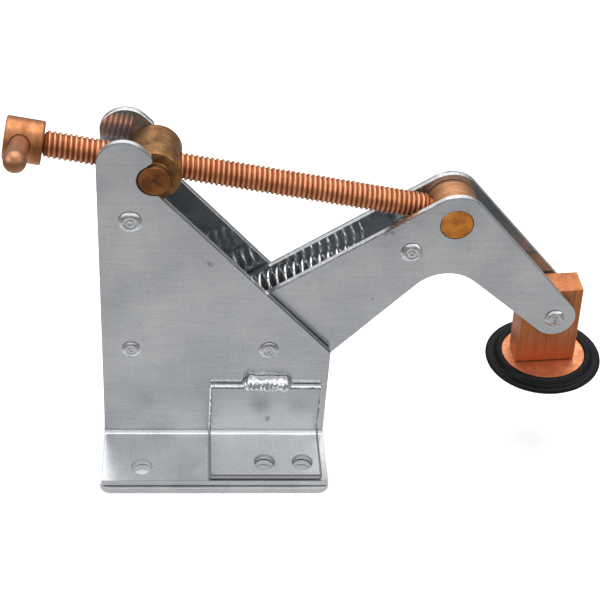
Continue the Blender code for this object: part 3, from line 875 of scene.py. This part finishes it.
def make_foot():
    rounded("foot_post", (POST_COPPER, DISC_COPPER), width=0.45)
    top, low = DISC_TOP, DISC_TOP - DISC_T
    profile = [(BOLT_BORE_R, top), (DISC_R - 0.6, top)] + corner(DISC_R - 0.6, top - 0.6, 0.6, 90.0)[1:]
    profile += [(DISC_R, low + 0.5), (DISC_R - 0.5, low), (SINK_R, low), (BOLT_BORE_R, low + SINK_DEEP)]
    mesh = lathe_mesh("foot_disc_finished", profile, FOOT_FRAME, 72, closed=True)
    soften(add("foot_disc_finished", mesh, (DISC_COPPER,), "foot", "foot_disc"))
    make_pad()


def make_pad():
    """The moulded pad: a bead that grips the disc, a groove, a flared rim and a flat sole."""
    top = DISC_TOP
    low = top - DISC_T
    sole = low - GAP - PAD_SOLE
    groove = DISC_R + GAP
    profile = [(18.8, top + 0.35), (18.9, top + 0.75), (19.4, top + 1.1), (20.1, top + 1.2),
               (20.8, top + 1.0), (21.5, top + 0.5), (22.0, top - 0.3), (22.4, top - 0.95),
               (22.9, top - 1.2), (23.5, top - 1.15), (24.3, top - 0.9), (25.1, top - 0.95),
               (25.8, top - 1.3), (26.2, top - 1.8), (PAD_R, top - 2.3), (PAD_R - 0.2, top - 2.8),
               (PAD_R - 0.9, top - 3.5), (PAD_R - 1.9, top - 4.2), (PAD_R - 2.9, top - 4.8),
               (PAD_R - 3.6, sole), (0, sole), (0, low - GAP), (groove, low - GAP), (groove, top + 0.35)]
    mesh = lathe_mesh("rubber_pad_moulded", profile, FOOT_FRAME, 96, closed=True)
    soften(add("rubber_pad_moulded", mesh, (RUBBER,), "foot", "rubber_pad"), 48.0)


# Spring

def spring_path():
    """Points along the wire: hook, coils and hook. Returns them with the coils' two ends."""
    reach = POST_R + WIRE_R + GAP
    line = ARM_POST - LOWER_POST
    contact = math.degrees(math.atan2(line.z, line.x)) - 90.0
    start = Vector((*arc(LOWER_POST, reach, contact, contact, 1)[0], 0.0))
    along = Vector((line.x, line.z, 0.0)).normalized()
    up = Vector((-along.y, along.x, 0.0))
    out = Vector((0.0, 0.0, 1.0))
    length = COIL_PITCH * COIL_TURNS

    def coil_point(distance, angle):
        across = out * math.sin(angle) - up * math.cos(angle)
        return start + along * (COIL_START + distance) + (up + across) * COIL_R

    def entry_point(turn):
        """Along and round the coil, part of the way through the wire's bend."""
        return WIRE_BEND * (math.sin(turn) - 1), math.asin(WIRE_BEND * (1 - math.cos(turn)) / COIL_R)

    entry = math.asin(WIRE_BEND / COIL_R)
    path = [Vector((x, z, 0.0)) for x, z in arc(LOWER_POST, reach, contact - HOOK_TURN, contact, 30)]
    quarter = [math.radians(15.0 * i) for i in range(6)]
    for turn in quarter:
        distance, sideways = entry_point(turn)
        path.append(coil_point(distance, sideways))
    for i in range(COIL_TURNS * COIL_SIDES + 1):
        angle = 2 * math.pi * i / COIL_SIDES
        if entry < angle < 2 * math.pi * COIL_TURNS - entry:
            path.append(coil_point(COIL_PITCH * i / COIL_SIDES, angle))
    for turn in reversed(quarter):
        distance, sideways = entry_point(turn)
        path.append(coil_point(length - distance, -sideways))
    path += [Vector((x, z, 0.0)) for x, z in arc(ARM_POST, reach, contact, contact + HOOK_TURN, 30)]
    return path, start + along * COIL_START, start + along * (COIL_START + length)


def make_spring():
    path, first, last = spring_path()
    curve = bpy.data.curves.new("return_spring_wire", "CURVE")
    curve.dimensions = "3D"
    curve.bevel_depth = WIRE_R * MM
    curve.bevel_resolution = 3
    curve.use_fill_caps = True
    spline = curve.splines.new("POLY")
    spline.points.add(len(path) - 1)
    for point, spot in zip(spline.points, path):
        point.co = (spot.x * MM, -spot.z * MM, spot.y * MM, 1.0)
    source = bpy.data.objects.new("wire", curve)
    bpy.context.scene.collection.objects.link(source)
    mesh = finished_mesh(source)
    bpy.data.objects.remove(source, do_unlink=True)
    piece = add("return_spring_wire", mesh, (STEEL,), None)
    piece.data.shade_smooth()
    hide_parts("return_spring")
    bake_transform(piece)


# Studio

def make_floor():
    floor_mesh = bpy.data.meshes.new("floor")
    shape = bmesh.new()
    bmesh.ops.create_grid(shape, x_segments=1, y_segments=1, size=FLOOR_SIZE)
    shape.to_mesh(floor_mesh)
    shape.free()
    paper = Surface("pale_paper", metallic=0.0, roughness=0.9)
    paper.shader.inputs["Base Color"].default_value = (0.96, 0.96, 0.96, 1.0)
    paper.shader.inputs["Specular IOR Level"].default_value = 0.1
    paper.shader.inputs["Emission Color"].default_value = (1.0, 1.0, 1.0, 1.0)
    paper.shader.inputs["Emission Strength"].default_value = 0.12
    floor = bpy.data.objects.new("floor", floor_mesh)
    floor.location.z = -FLOOR_DROP
    bpy.context.scene.collection.objects.link(floor)
    floor_mesh.materials.append(paper.mat)
    floor.visible_glossy = False


def make_lamps():
    for name, spot, size, power in (
        ("overhead", (0.1, 0.35, 1.3), 1.4, 16.0),
        ("left", (-1.2, -0.3, 0.8), 0.9, 6.0),
        ("right", (1.3, -0.5, 0.9), 0.9, 4.0),
    ):
        light = bpy.data.lights.new(name, "AREA")
        light.size = size
        light.energy = power
        lamp = bpy.data.objects.new(name, light)
        lamp.location = spot
        aim = Vector(LAMP_AIM) - Vector(spot)
        lamp.rotation_euler = aim.to_track_quat("-Z", "Y").to_euler()
        bpy.context.scene.collection.objects.link(lamp)


def make_sky():
    """Greys by height, for reflections and fill. The camera itself sees one pale grey."""
    world = bpy.data.worlds.new("studio")
    bpy.context.scene.world = world
    world.use_nodes = True
    tree = world.node_tree
    background = tree.nodes["Background"]
    coords = tree.nodes.new("ShaderNodeTexCoord")
    split = tree.nodes.new("ShaderNodeSeparateXYZ")
    height = tree.nodes.new("ShaderNodeMapRange")
    height.inputs["From Min"].default_value = -1.0
    ramp = tree.nodes.new("ShaderNodeValToRGB")
    path = tree.nodes.new("ShaderNodeLightPath")
    seen = tree.nodes.new("ShaderNodeMix")
    seen.data_type = "RGBA"
    seen.inputs[7].default_value = SKY_SEEN
    tree.links.new(coords.outputs["Generated"], split.inputs["Vector"])
    tree.links.new(split.outputs["Z"], height.inputs["Value"])
    tree.links.new(height.outputs["Result"], ramp.inputs["Fac"])
    set_ramp(ramp, [((level + 1.0) / 2.0, (grey, grey, grey * 1.01)) for level, grey in SKY_GREYS])
    tree.links.new(ramp.outputs["Color"], seen.inputs[6])
    tree.links.new(path.outputs["Is Camera Ray"], seen.inputs["Factor"])
    tree.links.new(seen.outputs[2], background.inputs["Color"])
    background.inputs["Strength"].default_value = SKY_STRENGTH


def make_camera():
    camera = bpy.data.objects.new("camera", bpy.data.cameras.new("camera"))
    camera.data.lens = CAMERA_LENS
    camera.data.sensor_width = SENSOR
    camera.data.clip_start = 0.01
    camera.data.clip_end = 20.0
    turn = Matrix.Rotation(math.radians(-CAMERA_YAW), 4, "Z")
    turn = turn @ Matrix.Rotation(math.radians(90 - CAMERA_PITCH), 4, "X")
    turn = turn @ Matrix.Rotation(math.radians(CAMERA_ROLL), 4, "Z")
    camera.matrix_world = at(CAMERA_SPOT) @ turn
    bpy.context.scene.collection.objects.link(camera)
    bpy.context.scene.camera = camera


make_plates()
make_welds()
make_rivets()
make_tubes()
make_screw()
make_head()
make_tee()
make_barrels()
paint_cad_nodes()
make_foot()
make_spring()
make_floor()
make_lamps()
make_sky()
make_camera()
bpy.context.scene.view_settings.view_transform = "Standard"
